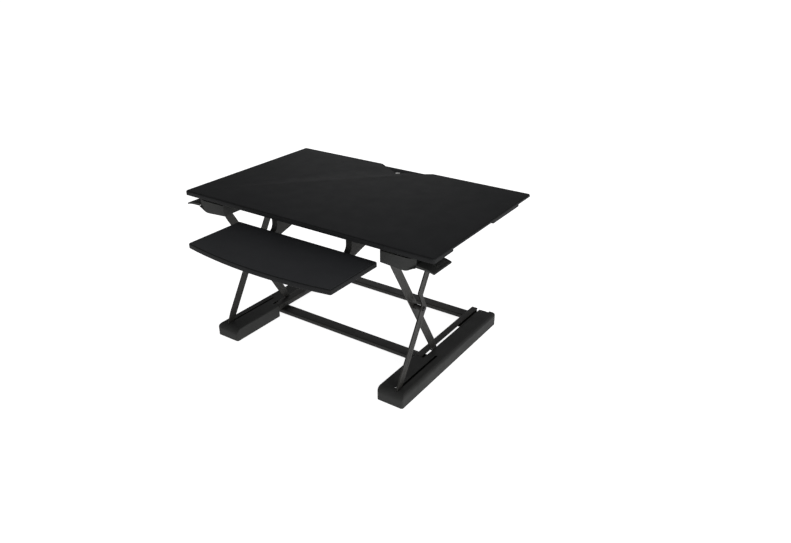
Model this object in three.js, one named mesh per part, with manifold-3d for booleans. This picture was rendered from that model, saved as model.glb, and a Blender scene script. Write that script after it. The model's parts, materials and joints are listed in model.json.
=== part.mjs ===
// Standing desk converter: a worktop and a keyboard tray on a scissor lift with two long feet.
// Millimetres, +Z up, +X to the right of the user, +Y away from the user.
// The pieces are laid out around the middle of the worktop, and the whole assembly is then
// moved along Y so that the origin lies under the middle of its bounding box.
import * as THREE from 'three';
import { mergeVertices } from 'three/addons/utils/BufferGeometryUtils.js';
import Module from 'manifold-3d';

const wasm = await Module();
wasm.setup();

// ---------------------------------------------------------------- driving dimensions
const GAP = 0.3; // clearance kept between pieces that touch

const DESK = { width: 914, depth: 584, top: 493.6, thick: 15.2, frontRadius: 5, rearRadius: 8 };
const DESK_UNDER = DESK.top - DESK.thick;
const DESK_EDGE_THIN = 7.9; // edge thickness left above the finger scoops
const SCOOP = { reach: 26, stretches: [[-194, 37], [204, 330]] };
const NOTCH = { outerHalf: 103, innerHalf: 78, depth: 17, radius: 7 };
const ARM_HOLE = { y: 229, radius: 5 };

const TRAY = { half: 260.4, rear: -259, side: -462, bow: 24, top: 422.8, thick: 16, corner: 6 };
const TRAY_UNDER = TRAY.top - TRAY.thick;
const HANGER = { x: 140.5, width: 21, front: -230, wall: 2.5, footEnd: -388 };

const FOOT = { inner: 281.5, outer: 371.4, front: -300, rear: 286, top: 45, wall: 2.5, lift: 1.2 };
const NOSE = { rear: -95, roll: 26, corner: 7 }; // the full-width front part of the foot cover
const CROSSBAR = { deep: 41, low: 8.2, high: 23.5, wall: 1.6, front: -82, rear: 242 };
const END_PLATE = { thick: 3, ahead: 74, overlap: 10 }; // plates that join the rear crossbar to the feet

// the scissor: both arms have the same length, and their front pivots lie on one upright line
const PIVOT = { y: -276.3, low: 34.5, high: 466.1 };
const ROLLER_Y = -17.5; // rear end of each arm with the worktop raised
const RUN = ROLLER_Y - PIVOT.y;
const RISE = PIVOT.high - PIVOT.low;
const ARM_LENGTH = Math.hypot(RUN, RISE);
const ARM_ANGLE = Math.atan2(RISE, RUN);
const LIFT_DROP = 373.6; // from the highest to the lowest position
const ARM = { width: 28, thick: 4.5, endRadius: 8.4, taper: 46, bore: 5.25 };
const ARM_A_LOW = 338; // inner face of arm A's lower half
const ARM_A_HIGH = 316; // inner face of arm A's upper half, past its joggle
const JOGGLE = { start: 261, end: 288 };
const ARM_B_FACE = 307; // inner face of arm B

const ROLLER = { radius: 8, bore: 4.3, axle: 4.05 };
const TRACK = { half: 8.35, wall: 2.3 };
const LOWER_TRACK = { web: FOOT.inner, mouth: 304, ledge: 291, front: -92, rear: 280 };
const UPPER_TRACK = { web: 346, mouth: 324, front: -258, rear: 274 };

const BEAM = { x0: 331, x1: 349, wall: 3, low: 3, high: 42.4, front: -290, rear: 281 };
const STRIP_EDGE = 313.3; // inner edge of the narrow cover strip beside arm B's slot
const GROOVE = { x0: 336, x1: 344.6, front: -285, rear: -60 };

const HOUSING = { inner: 290, outer: 399, front: -291, rear: -214, wall: 2.5 };
const LEVER = { root: 401.5, tip: 457, front: -288, rear: -198 };
const LEVER_PIVOT = { x: 390, z: 456, hub: 4.6, bore: 2.4, pin: 2.1, ahead: 12, behind: 8 };
// the housing's lower line as seen from the front, with the lever's line past its outer end
const UNDERSIDE = [
  [290, 441], [362, 436.4], [376, 439], [389, 446], [403, 451.2], [430, 451], [457, 446.4],
];

// gas springs lie in the feet and pull on short cranks on arm A's foot axle
const CRANK = { x0: 349.3, x1: 352.3, reach: 20, hub: 7.2, tip: 6, stud: 4, studEnd: 354.2 };
const GAS = { x: 358.5, long: 150, tube: 8, rod: 4, neck: 5, mouth: 50, back: 134, boreEnd: 127, rodEnd: 125 };
const GAS_EYE = { radius: 7, rodRadius: 6, halfWidth: 4, bore: 4.3, pin: 4 };
const ANCHOR = { plate: 2.5, half: 13, low: 5, high: 28, pinEnd: 364.5 };

const FRAME_BAR = { low: 472.1, deep: 34, places: { front: -98, rear: 238 } };
const PAD = { x0: 330, x1: 366, long: 44, places: { front: -288, rear: 234 } };
const CLEVIS = { ears: [[301, 304], [314.5, 317.5]], front: -288, rear: -264.6, low: 457, web: 1.8 };

// ---------------------------------------------------------------- finishes
function finish(name, color, roughness, metalness) {
  const material = new THREE.MeshStandardMaterial({ color, roughness, metalness });
  material.name = name;
  return material;
}
const laminate = finish('laminate', 0x2b2c2e, 0.62, 0);
const shellPlastic = finish('shell_plastic', 0x303133, 0.55, 0);
const coatedSteel = finish('coated_steel', 0x33322f, 0.5, 0.45);
const armSteel = finish('arm_steel', 0x403e3a, 0.45, 0.5);
const plainSteel = finish('plain_steel', 0x8f8f8c, 0.35, 0.9);
const rodSteel = finish('rod_steel', 0xb5b6b8, 0.15, 1);
const rubber = finish('rubber', 0x161616, 0.9, 0);
const nylon = finish('nylon', 0x1d1d1e, 0.6, 0);

// ---------------------------------------------------------------- outlines
// Corners are [a, b] or [a, b, radius]; a radius rounds the corner with an arc.
function outline(corners, arcSteps = 5) {
  const points = [];
  corners.forEach(([a, b, radius = 0], i) => {
    const here = new THREE.Vector2(a, b);
    if (radius === 0) {
      points.push(here);
      return;
    }
    const [pa, pb] = corners[(i + corners.length - 1) % corners.length];
    const [na, nb] = corners[(i + 1) % corners.length];
    const toPrevious = new THREE.Vector2(pa - a, pb - b).normalize();
    const toNext = new THREE.Vector2(na - a, nb - b).normalize();
    const half = Math.acos(THREE.MathUtils.clamp(toPrevious.dot(toNext), -1, 1)) / 2;
    const tangent = radius / Math.tan(half);
    const start = here.clone().addScaledVector(toPrevious, tangent);
    const end = here.clone().addScaledVector(toNext, tangent);
    const inward = toPrevious.clone().add(toNext).normalize();
    const centre = here.clone().addScaledVector(inward, radius / Math.sin(half));
    const from = start.clone().sub(centre).angle();
    let sweep = end.clone().sub(centre).angle() - from;
    if (sweep > Math.PI) sweep -= 2 * Math.PI;
    if (sweep < -Math.PI) sweep += 2 * Math.PI;
    for (let k = 0; k <= arcSteps; k++) {
      const angle = from + (sweep * k) / arcSteps;
      const spoke = new THREE.Vector2(Math.cos(angle), Math.sin(angle));
      points.push(centre.clone().addScaledVector(spoke, radius));
    }
  });
  return points;
}

function circle(a, b, radius, sides = 16) {
  const points = [];
  for (let k = 0; k < sides; k++) {
    const angle = (2 * Math.PI * k) / sides;
    points.push(new THREE.Vector2(a + radius * Math.cos(angle), b + radius * Math.sin(angle)));
  }
  return points;
}

function rectangle(a0, a1, b0, b1, radius = 0) {
  return outline([[a0, b0, radius], [a1, b0, radius], [a1, b1, radius], [a0, b1, radius]]);
}

// ---------------------------------------------------------------- prisms
function prism(points, depth) {
  return new THREE.ExtrudeGeometry(new THREE.Shape(points), { depth, bevelEnabled: false });
}

// an outline in (x, y), standing between two heights
function alongZ(points, z0, z1) {
  return prism(points, z1 - z0).translate(0, 0, z0);
}

// an outline in (y, z), between two places along x
function alongX(points, x0, x1) {
  const turn = new THREE.Matrix4().makeBasis(
    new THREE.Vector3(0, 1, 0), new THREE.Vector3(0, 0, 1), new THREE.Vector3(1, 0, 0));
  return prism(points, x1 - x0).applyMatrix4(turn).translate(x0, 0, 0);
}

// an outline in (x, z), between two places along y
function alongY(points, y0, y1) {
  const turn = new THREE.Matrix4().makeBasis(
    new THREE.Vector3(1, 0, 0), new THREE.Vector3(0, 0, 1), new THREE.Vector3(0, -1, 0));
  return prism(points, y1 - y0).applyMatrix4(turn).translate(0, y1, 0);
}

function block(x0, x1, y0, y1, z0, z1) {
  const box = new THREE.BoxGeometry(x1 - x0, y1 - y0, z1 - z0);
  return box.translate((x0 + x1) / 2, (y0 + y1) / 2, (z0 + z1) / 2);
}

// a turned piece on a line along x through (y, z); the profile is [[radius, x], ...] along the line
function turnedX(profile, y, z, sides = 20) {
  const points = profile.map(([radius, x]) => new THREE.Vector2(radius, x));
  return new THREE.LatheGeometry(points, sides).rotateZ(-Math.PI / 2).translate(0, y, z);
}

function pinX(y, z, radius, x0, x1, sides = 16) {
  return turnedX([[0, x0], [radius, x0], [radius, x1], [0, x1]], y, z, sides);
}

// ---------------------------------------------------------------- joins and cuts
function solid(geometry) {
  const bare = geometry.clone();
  bare.deleteAttribute('normal');
  bare.deleteAttribute('uv');
  const merged = mergeVertices(bare, 1e-4);
  const vertProperties = new Float32Array(merged.attributes.position.array);
  const triVerts = new Uint32Array(merged.index.array);
  return new wasm.Manifold(new wasm.Mesh({ numProp: 3, vertProperties, triVerts }));
}

function shape(body) {
  const mesh = body.getMesh();
  const geometry = new THREE.BufferGeometry();
  geometry.setAttribute('position', new THREE.BufferAttribute(mesh.vertProperties, 3));
  geometry.setIndex(new THREE.BufferAttribute(mesh.triVerts, 1));
  return geometry;
}

function join(...geometries) {
  return shape(geometries.map(solid).reduce((all, next) => all.add(next)));
}

function cut(geometry, ...tools) {
  return shape(tools.map(solid).reduce((rest, tool) => rest.subtract(tool), solid(geometry)));
}

function common(...geometries) {
  return shape(geometries.map(solid).reduce((all, next) => all.intersect(next)));
}

// the left-hand twin of a right-hand piece
function mirrored(geometry) {
  const twin = geometry.index ? geometry.toNonIndexed() : geometry.clone();
  twin.scale(-1, 1, 1);
  const position = twin.attributes.position;
  const corner = new THREE.Vector3();
  const other = new THREE.Vector3();
  for (let i = 0; i < position.count; i += 3) {
    corner.fromBufferAttribute(position, i + 1);
    other.fromBufferAttribute(position, i + 2);
    position.setXYZ(i + 1, other.x, other.y, other.z);
    position.setXYZ(i + 2, corner.x, corner.y, corner.z);
  }
  twin.deleteAttribute('normal');
  twin.deleteAttribute('uv');
  return mergeVertices(twin, 1e-4);
}

// ---------------------------------------------------------------- the assembly and its groups
const converter = new THREE.Group();
const trayFront = TRAY.side - TRAY.bow;
converter.position.y = -(trayFront + DESK.depth / 2) / 2;

function addGroup(parent, y = 0, z = 0, tilt = 0) {
  const group = new THREE.Group();
  group.position.set(0, y, z);
  group.rotation.x = tilt;
  parent.add(group);
  return group;
}
const base = addGroup(converter);
const armA = addGroup(converter, PIVOT.y, PIVOT.low, ARM_ANGLE);
const armB = addGroup(converter, PIVOT.y, PIVOT.high, -ARM_ANGLE);
const top = addGroup(converter);

function add(group, name, geometry, material) {
  const mesh = new THREE.Mesh(geometry, material.clone());
  mesh.name = name;
  group.add(mesh);
}

function addPair(group, name, geometry, material) {
  add(group, `${name}_right`, geometry, material);
  add(group, `${name}_left`, mirrored(geometry), material);
}

// ---------------------------------------------------------------- worktop
function deskBlank() {
  const half = DESK.width / 2;
  const back = DESK.depth / 2;
  const { outerHalf, innerHalf, depth, radius } = NOTCH;
  const plan = outline([
    [-half, -back, DESK.frontRadius], [half, -back, DESK.frontRadius],
    [half, back, DESK.rearRadius], [outerHalf, back, radius],
    [innerHalf, back - depth, radius], [-innerHalf, back - depth, radius],
    [-outerHalf, back, radius], [-half, back, DESK.rearRadius],
  ]);
  return alongZ(plan, DESK_UNDER, DESK.top);
}

// a sloping scoop under one side edge, where the fingers go
function fingerScoop(side, y0, y1) {
  const edge = DESK.width / 2;
  const inner = side * (edge - SCOOP.reach);
  const outer = side * (edge + 1);
  const slope = outline([[inner, DESK_UNDER], [outer, DESK.top - DESK_EDGE_THIN],
    [outer, DESK_UNDER - 5], [inner, DESK_UNDER - 5]]);
  return alongY(slope, y0, y1);
}

function desktop() {
  const scoops = [-1, 1].flatMap((side) => SCOOP.stretches.map(([y0, y1]) => fingerScoop(side, y0, y1)));
  const hole = alongZ(circle(0, ARM_HOLE.y, ARM_HOLE.radius), DESK_UNDER - 5, DESK.top + 5);
  return cut(deskBlank(), hole, ...scoops);
}
add(top, 'desktop', desktop(), laminate);

// ---------------------------------------------------------------- keyboard tray and its hangers
function trayPlan() {
  const { half, rear, side, bow, corner } = TRAY;
  const bowed = (x) => side - bow * (1 - (x / half) ** 2);
  const front = [-0.75, -0.5, -0.25, 0, 0.25, 0.5, 0.75].map((part) => [part * half, bowed(part * half)]);
  return outline([[half, rear, 5], [-half, rear, 5], [-half, side, corner], ...front, [half, side, corner]]);
}
add(top, 'keyboard_tray', alongZ(trayPlan(), TRAY_UNDER, TRAY.top), laminate);

// a bent bracket: a tall web behind the tray and a tongue that runs forward under it
function trayHanger() {
  const { x, width, front, wall, footEnd } = HANGER;
  const tongue = TRAY_UNDER - GAP;
  const face = DESK_UNDER - GAP;
  const side = outline([
    [front, face], [front, tongue, 26], [footEnd, tongue], [footEnd, tongue - 4, 2],
    [-266, tongue - 5, 12], [-240, 388, 12], [-164, 408.5, 30], [-126, 436, 20], [-104, face],
  ], 4);
  const plate = alongX(side, x - width / 2, x + width / 2);
  const pocket = outline([
    [front + wall, face + 1], [front + wall, 398, 12], [-90, 398], [-90, face + 1],
  ], 3);
  return cut(plate, alongX(pocket, x - width / 2 + wall, x + width / 2 - wall));
}
addPair(top, 'tray_hanger', trayHanger(), coatedSteel);

// ---------------------------------------------------------------- feet
function footCover() {
  const { inner, outer, front, rear, top: high, wall, lift } = FOOT;
  const across = (inset, low) => outline([
    [inner + inset, low], [outer - inset, low], [outer - inset, high - inset, 15 - inset],
    [inner + inset, high - inset, 5 - inset],
  ]);
  const lengthwise = (inset, low) => outline([
    [front + inset, low], [rear - inset, low], [rear - inset, high - inset, 5 - inset],
    [front + inset, high - inset, NOSE.roll - inset],
  ]);
  const plan = (inset) => outline([
    [inner + inset, front + inset, NOSE.corner - inset], [outer - inset, front + inset, NOSE.corner - inset],
    [outer - inset, rear - inset, 8 - inset], [inner + inset, rear - inset],
  ]);
  const form = (inset, low) => common(
    alongY(across(inset, low), front - 1, rear + 1),
    alongX(lengthwise(inset, low), inner - 1, outer + 1),
    alongZ(plan(inset), low, high + 1));
  const behindNose = block(inner - 5, STRIP_EDGE, NOSE.rear, rear + 5, -5, high + 5);
  const groove = alongZ(rectangle(GROOVE.x0, GROOVE.x1, GROOVE.front, GROOVE.rear), high - 10, high + 5);
  return cut(form(0, lift), form(wall, -5), behindNose, groove);
}
addPair(base, 'foot_cover', footCover(), shellPlastic);

// an upright channel that carries arm A's foot pivot and stiffens the foot
function footBeam() {
  const { x0, x1, wall, low, high, front, rear } = BEAM;
  const section = outline([
    [x0, low], [x1, low], [x1, high], [x1 - wall, high],
    [x1 - wall, low + wall], [x0 + wall, low + wall], [x0 + wall, high], [x0, high],
  ]);
  const side = outline([
    [front, low - 1], [rear, low - 1], [rear, high + 1], [front + 18, high + 1], [front, high - 10],
  ]);
  const channel = common(alongY(section, front, rear), alongX(side, x0 - 1, x1 + 1));
  return cut(channel, pinX(PIVOT.y, PIVOT.low, 5.1, x0 - 5, x1 + 5));
}
addPair(base, 'foot_beam', footBeam(), coatedSteel);

// a channel lying on its side: web, two flanges, and an open mouth for the roller
function track(web, mouth, ledge, centre, front, rear, extra = 0) {
  const inward = Math.sign(mouth - web);
  const low = centre - TRACK.half - TRACK.wall;
  const high = centre + TRACK.half + TRACK.wall + extra;
  const section = outline([
    [web, low], [ledge, low], [ledge, low + TRACK.wall], [web + inward * TRACK.wall, low + TRACK.wall],
    [web + inward * TRACK.wall, centre + TRACK.half], [mouth, centre + TRACK.half], [mouth, high],
    [web, high],
  ]);
  return alongY(section, front, rear);
}
const lowerTrack = track(LOWER_TRACK.web, LOWER_TRACK.mouth, LOWER_TRACK.ledge, PIVOT.low,
  LOWER_TRACK.front, LOWER_TRACK.rear);
addPair(base, 'lower_track', lowerTrack, coatedSteel);

function crossbar(front, endPlates) {
  const { deep, low, high, wall } = CROSSBAR;
  const reach = BEAM.x0 - GAP;
  const skin = alongX(rectangle(front, front + deep, low, high, 2.5), -reach, reach);
  const hollow = rectangle(front + wall, front + deep - wall, low + wall, high - wall);
  const bar = cut(skin, alongX(hollow, -reach - 1, reach + 1));
  if (!endPlates) return bar;
  const plates = [-1, 1].map((side) => {
    const ends = [side * (FOOT.inner + 2), side * reach].sort((a, b) => a - b);
    const { thick, ahead, overlap } = END_PLATE;
    return block(ends[0], ends[1], front - ahead, front + overlap, high - thick, high);
  });
  return join(bar, ...plates);
}
add(base, 'base_crossbar_front', crossbar(CROSSBAR.front, false), coatedSteel);
add(base, 'base_crossbar_rear', crossbar(CROSSBAR.rear, true), coatedSteel);

for (const [place, y] of Object.entries(PAD.places)) {
  const pad = alongZ(rectangle(PAD.x0, PAD.x1, y, y + PAD.long, 6), 0, BEAM.low - GAP);
  addPair(base, `rubber_pad_${place}`, pad, rubber);
}

// ---------------------------------------------------------------- scissor arms
// In an arm's own frame y runs from its front pivot to its roller, and z is across its width.
function armPlan() {
  const { width, endRadius, taper } = ARM;
  const half = width / 2;
  const end = (at, outward) => [
    [at + outward * endRadius, -outward * endRadius, endRadius],
    [at + outward * endRadius, outward * endRadius, endRadius],
  ];
  return outline([
    [taper, half, 30], ...end(0, -1), [taper, -half, 30],
    [ARM_LENGTH - taper, -half, 30], ...end(ARM_LENGTH, 1), [ARM_LENGTH - taper, half, 30],
  ]);
}

function armBores(x0, x1) {
  return [0, ARM_LENGTH / 2, ARM_LENGTH].map((at) => pinX(at, 0, ARM.bore, x0, x1));
}

// arm A steps sideways just past its middle, so that its ends run in different planes
function armAPlate() {
  const { thick, width } = ARM;
  const ends = [-20, ARM_LENGTH + 20];
  const step = outline([
    [ARM_A_LOW, ends[0]], [ARM_A_LOW + thick, ends[0]], [ARM_A_LOW + thick, JOGGLE.start, 8],
    [ARM_A_HIGH + thick, JOGGLE.end, 8], [ARM_A_HIGH + thick, ends[1]], [ARM_A_HIGH, ends[1]],
    [ARM_A_HIGH, JOGGLE.end, 8], [ARM_A_LOW, JOGGLE.start, 8],
  ], 3);
  const band = alongZ(step, -width, width);
  const plan = alongX(armPlan(), ARM_A_HIGH - 10, ARM_A_LOW + 20);
  return cut(common(band, plan), ...armBores(ARM_A_HIGH - 20, ARM_A_LOW + 20));
}
addPair(armA, 'arm_a', armAPlate(), armSteel);

const armBPlate = cut(alongX(armPlan(), ARM_B_FACE, ARM_B_FACE + ARM.thick),
  ...armBores(ARM_B_FACE - 10, ARM_B_FACE + 20));
addPair(armB, 'arm_b', armBPlate, armSteel);

// ---------------------------------------------------------------- pivots, axles and rollers
// a plain pin with a flat head at each end
function headedPin(y, z, radius, headRadius, headThick, x0, x1) {
  return turnedX([
    [0, x0], [headRadius, x0], [headRadius, x0 + headThick], [radius, x0 + headThick],
    [radius, x1 - headThick], [headRadius, x1 - headThick], [headRadius, x1], [0, x1],
  ], y, z);
}

const armBOuter = ARM_B_FACE + ARM.thick;
const middle = ARM_LENGTH / 2;
const centreBolt = headedPin(middle, 0, 5.1, 8.6, 4.2, ARM_B_FACE - 4.5, ARM_A_LOW + ARM.thick + 4.5);
addPair(armB, 'centre_bolt', centreBolt, plainSteel);
const spacer = turnedX([
  [5.3, armBOuter + GAP], [7.5, armBOuter + GAP], [7.5, ARM_A_LOW - GAP], [5.3, ARM_A_LOW - GAP],
  [5.3, armBOuter + GAP],
], middle, 0);
addPair(armB, 'centre_spacer', spacer, coatedSteel);

// arm A's foot axle turns in the beam and carries a crank outside it, for the gas spring
const footPin = headedPin(0, 0, 5, 7.5, 2.6, BEAM.x0 - 3, CRANK.x1 + 3);
addPair(armA, 'foot_pivot_pin', footPin, plainSteel);
const liftTravel = ARM_ANGLE - Math.asin((RISE - LIFT_DROP) / ARM_LENGTH);
const crankTurn = -Math.PI / 2 + liftTravel / 2; // points straight down half way through the lift
const crankTip = { y: CRANK.reach * Math.cos(crankTurn), z: CRANK.reach * Math.sin(crankTurn) };
function gasCrank() {
  const { x0, x1, reach, hub, tip, stud, studEnd } = CRANK;
  const web = alongX(outline([[0, -hub], [reach, -tip], [reach, tip], [0, hub]]), x0, x1);
  const ends = [pinX(0, 0, hub, x0, x1), pinX(reach, 0, tip, x0, x1), pinX(reach, 0, stud, x0, studEnd)];
  return cut(join(web, ...ends), pinX(0, 0, 5.1, x0 - 5, x1 + 5)).rotateX(crankTurn - ARM_ANGLE);
}
addPair(armA, 'gas_crank', gasCrank(), coatedSteel);

const lowerAxle = turnedX([
  [0, 286], [ROLLER.axle, 286], [ROLLER.axle, ARM_B_FACE - 2.8], [6.5, ARM_B_FACE - 2.8],
  [6.5, ARM_B_FACE - GAP], [5.15, ARM_B_FACE - GAP], [5.15, armBOuter + 0.4], [0, armBOuter + 0.4],
], ARM_LENGTH, 0);
addPair(armB, 'lower_axle', lowerAxle, plainSteel);
function roller(y, z, x0, x1) {
  return turnedX([
    [ROLLER.bore, x0], [ROLLER.radius, x0], [ROLLER.radius, x1], [ROLLER.bore, x1], [ROLLER.bore, x0],
  ], y, z, 24);
}
addPair(armB, 'lower_roller', roller(ARM_LENGTH, 0, 286, 303.4), nylon);

const armAOuter = ARM_A_HIGH + ARM.thick;
const upperAxle = turnedX([
  [0, ARM_A_HIGH - 0.4], [5.15, ARM_A_HIGH - 0.4], [5.15, armAOuter + GAP], [6.5, armAOuter + GAP],
  [6.5, armAOuter + 2.6], [ROLLER.axle, armAOuter + 2.6], [ROLLER.axle, 342.5], [0, 342.5],
], ARM_LENGTH, 0);
addPair(armA, 'upper_axle', upperAxle, plainSteel);
addPair(armA, 'upper_roller', roller(ARM_LENGTH, 0, 325, 342.5), nylon);

// ---------------------------------------------------------------- upper frame
const topFlange = DESK_UNDER - GAP - (PIVOT.high + TRACK.half + TRACK.wall);
const upperTrack = track(UPPER_TRACK.web, UPPER_TRACK.mouth, UPPER_TRACK.mouth, PIVOT.high,
  UPPER_TRACK.front, UPPER_TRACK.rear, topFlange);
addPair(top, 'upper_track', upperTrack, coatedSteel);

// an upside-down clevis that holds arm B's upper end
function topClevis() {
  const { ears, front, rear, low } = CLEVIS;
  const face = DESK_UNDER - GAP;
  const ear = outline([[front, face], [front, low, 8], [rear, low, 8], [rear, face]]);
  const web = block(ears[0][0], ears[1][1], front, rear, face - CLEVIS.web, face);
  const joined = join(web, ...ears.map(([x0, x1]) => alongX(ear, x0, x1)));
  return cut(joined, pinX(PIVOT.y, PIVOT.high, ARM.bore, ears[0][0] - 5, ears[1][1] + 5));
}
addPair(top, 'top_clevis', topClevis(), coatedSteel);
const topPin = headedPin(PIVOT.y, PIVOT.high, 5, 7, 2.2, CLEVIS.ears[0][0] - 2.6, CLEVIS.ears[1][1] + 2.6);
addPair(top, 'top_pivot_pin', topPin, plainSteel);

for (const [place, y] of Object.entries(FRAME_BAR.places)) {
  const reach = UPPER_TRACK.mouth - GAP;
  const bar = block(-reach, reach, y, y + FRAME_BAR.deep, FRAME_BAR.low, DESK_UNDER - GAP);
  add(top, `top_crossbar_${place}`, bar, coatedSteel);
}

// ---------------------------------------------------------------- handles and release levers
function handleHousing() {
  const { inner, outer, front, rear, wall } = HOUSING;
  const face = DESK_UNDER - GAP;
  const bottom = UNDERSIDE.filter(([x]) => x < outer);
  const skin = outline([...bottom, [outer, 449.8], [outer, face], [inner, face]]);
  const raised = bottom.map(([x, z]) => [Math.max(x, inner + wall), z + wall]);
  const hollow = outline([...raised, [outer + 5, 453.4], [outer + 5, face + 5], [inner + wall, face + 5]]);
  const armSlot = block(303.5, 315.5, front + wall, rear + 5, 430, face + 5);
  return cut(alongY(skin, front, rear), alongY(hollow, front + wall, rear - wall), armSlot, trackDoor(rear));
}
function trackDoor(rear) {
  const low = PIVOT.high - TRACK.half - TRACK.wall - 1;
  return block(UPPER_TRACK.mouth - 12, UPPER_TRACK.web + 1, rear - 5, rear + 5, low, DESK_UNDER + 5);
}
addPair(top, 'handle_housing', handleHousing(), shellPlastic);

// the paddle under the worktop's side edge, with its hub inside the housing
function releaseLever() {
  const { root, tip, front, rear } = LEVER;
  const { x, z, hub, bore, ahead, behind } = LEVER_PIVOT;
  const blade = outline([
    [root, 453], [405, 451.6], [430, 451], [tip, 446.4], [tip, 452, 2], [430, 458.5], [root, 460.5],
  ]);
  const plan = alongZ(outline([
    [root - 1, front - 1], [tip, front - 1, 3], [tip, rear, 5], [436, rear + 1], [root - 1, rear + 1],
  ]), 430, 480);
  const neck = block(x, root + 3, front + ahead, HOUSING.rear - behind, 454.8, 459.6);
  const barrel = alongY(circle(x, z, hub), front + ahead, HOUSING.rear - behind);
  const lever = join(common(alongY(blade, front, rear), plan), neck, barrel);
  return cut(lever, alongY(circle(x, z, bore), front, rear));
}
addPair(top, 'release_lever', releaseLever(), shellPlastic);
const leverAxis = circle(LEVER_PIVOT.x, LEVER_PIVOT.z, LEVER_PIVOT.pin, 12);
addPair(top, 'lever_pin', alongY(leverAxis, HOUSING.front + 3, HOUSING.rear - 3), plainSteel);

// ---------------------------------------------------------------- gas springs
// in this group y runs from the crank's stud to the anchor on the beam
const gas = addGroup(converter, PIVOT.y + crankTip.y, PIVOT.low + crankTip.z);

function turnedY(profile, x, z, sides = 20) {
  const points = profile.map(([radius, y]) => new THREE.Vector2(radius, y));
  return new THREE.LatheGeometry(points, sides).translate(x, 0, z);
}
const { x: gasX, long, tube, rod } = GAS;
const eyeRing = (at, radius) => pinX(at, 0, radius, gasX - GAS_EYE.halfWidth, gasX + GAS_EYE.halfWidth);

function gasCylinder() {
  const { mouth, back, boreEnd, neck } = GAS;
  const neckEnd = long - GAS_EYE.radius + 2;
  const body = turnedY([
    [0, boreEnd], [rod + GAP, boreEnd], [rod + GAP, mouth], [tube - 2, mouth], [tube, mouth + 4],
    [tube, back - 4], [neck, back], [neck, neckEnd], [0, neckEnd],
  ], gasX, 0);
  return cut(join(body, eyeRing(long, GAS_EYE.radius)), pinX(long, 0, GAS_EYE.bore, gasX - 20, gasX + 20));
}
addPair(gas, 'gas_cylinder', gasCylinder(), coatedSteel);

// the rod's eye meets the crank's stud face to face, and may slide past it
function gasRod() {
  const start = GAS_EYE.rodRadius - 2;
  const body = turnedY([[0, start], [rod, start], [rod, GAS.rodEnd], [0, GAS.rodEnd]], gasX, 0);
  return join(body, eyeRing(0, GAS_EYE.rodRadius));
}
addPair(gas, 'gas_rod', gasRod(), rodSteel);

// a plate on the beam's outer face, with a pin for the cylinder's eye
function gasAnchor() {
  const face = BEAM.x1 + GAP;
  const { plate, half, low, high, pinEnd } = ANCHOR;
  const y = PIVOT.y + crankTip.y + long;
  const flat = alongX(rectangle(y - half, y + half, low, high, 4), face, face + plate);
  return join(flat, pinX(y, PIVOT.low + crankTip.z, GAS_EYE.pin, face, pinEnd));
}
addPair(base, 'gas_anchor', gasAnchor(), coatedSteel);

export default converter;
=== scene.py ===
"""Looks of a standing desk converter: a worktop and a keyboard tray on a scissor lift with two long feet.

Lengths are in millimetres in the row frame until a mesh is made, which is in metres. Places come from
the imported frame's boxes and joints. Right-hand pieces are made first, and their twins are mirrored.
"""
import json
import math

import bmesh
import bpy
from mathutils import Matrix, Vector


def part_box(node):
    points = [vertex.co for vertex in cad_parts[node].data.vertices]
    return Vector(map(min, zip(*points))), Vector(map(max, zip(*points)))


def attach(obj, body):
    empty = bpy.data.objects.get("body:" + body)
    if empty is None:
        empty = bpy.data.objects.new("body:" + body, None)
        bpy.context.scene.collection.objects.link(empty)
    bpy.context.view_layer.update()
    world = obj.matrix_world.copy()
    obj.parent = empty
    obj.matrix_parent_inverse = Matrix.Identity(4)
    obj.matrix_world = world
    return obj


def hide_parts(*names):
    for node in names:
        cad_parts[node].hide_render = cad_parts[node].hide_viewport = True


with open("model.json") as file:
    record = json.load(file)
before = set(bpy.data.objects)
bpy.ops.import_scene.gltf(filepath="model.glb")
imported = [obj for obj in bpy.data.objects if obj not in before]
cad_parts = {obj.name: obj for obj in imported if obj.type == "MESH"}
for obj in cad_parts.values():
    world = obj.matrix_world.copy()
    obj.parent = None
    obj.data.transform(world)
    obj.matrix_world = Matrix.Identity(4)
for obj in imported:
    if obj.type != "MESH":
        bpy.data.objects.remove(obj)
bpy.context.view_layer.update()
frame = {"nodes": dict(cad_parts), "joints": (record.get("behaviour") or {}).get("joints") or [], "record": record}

MM = 0.001
BODY_OF = {node: body for body, nodes in frame["record"]["behaviour"]["bodies"].items() for node in nodes}
SLOT_OF = {part["node"]: part["material_slot"] for part in frame["record"]["subparts"]}
JOINTS = {joint["name"]: joint for joint in frame["joints"]}


def box_mm(node):
    low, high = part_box(node)
    return low / MM, high / MM


def joint_mm(name):
    return Vector(JOINTS[name]["pos_m"]) / MM


# ---------------------------------------------------------------- camera, light and floor
def add_camera():
    """The view from the right and above, towards the worktop's far left corner."""
    yaw, pitch, roll = math.radians(33.8), math.radians(-26.02), math.radians(0.17)
    data = bpy.data.cameras.new("view")
    data.sensor_width = 36
    data.lens = 31.84
    data.clip_end = 100
    camera = bpy.data.objects.new("view", data)
    turn = Matrix.Rotation(yaw, 4, "Z") @ Matrix.Rotation(math.pi / 2 + pitch, 4, "X")
    place = Matrix.Translation((1.2554, -1.5606, 1.2304))
    camera.matrix_world = place @ turn @ Matrix.Rotation(roll, 4, "Z")
    bpy.context.scene.collection.objects.link(camera)
    bpy.context.scene.camera = camera


def add_area_light(name, place, target, size, power):
    data = bpy.data.lights.new(name, "AREA")
    data.shape = "DISK"
    data.size = size
    data.energy = power
    light = bpy.data.objects.new(name, data)
    light.location = place
    light.rotation_mode = "QUATERNION"
    light.rotation_quaternion = (Vector(target) - Vector(place)).to_track_quat("-Z", "Y")
    bpy.context.scene.collection.objects.link(light)


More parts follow.
